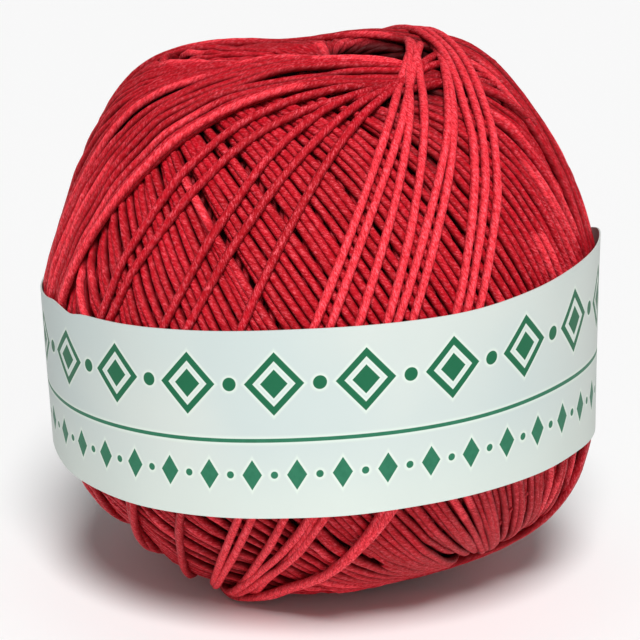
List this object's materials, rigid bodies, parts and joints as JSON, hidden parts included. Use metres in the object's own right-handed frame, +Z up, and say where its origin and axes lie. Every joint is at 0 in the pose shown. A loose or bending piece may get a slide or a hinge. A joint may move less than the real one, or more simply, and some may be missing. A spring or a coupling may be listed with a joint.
{
  "type": "ball of twine with a paper band",
  "caption": "Machine-wound ball of red twine with a winding hollow at each end, a paper band round its middle and a small flat spot to rest on.",
  "frame": {"origin": "on the surface the ball rests on, straight below the middle of the ball and its band", "axes": "+Z up, through the ball's centre; -Y is the front, as pictured; +X is to the right of the front"},
  "size_m": [0.0666, 0.0666, 0.0681],
  "materials": {
    "red_twine": "smooth polished plied twine, lightly waxed",
    "pale_paper": "matt printed paper"
  },
  "bodies": {
    "root": {"wound_twine": "red_twine", "paper_band": "pale_paper"}
  },
  "joints": []
}
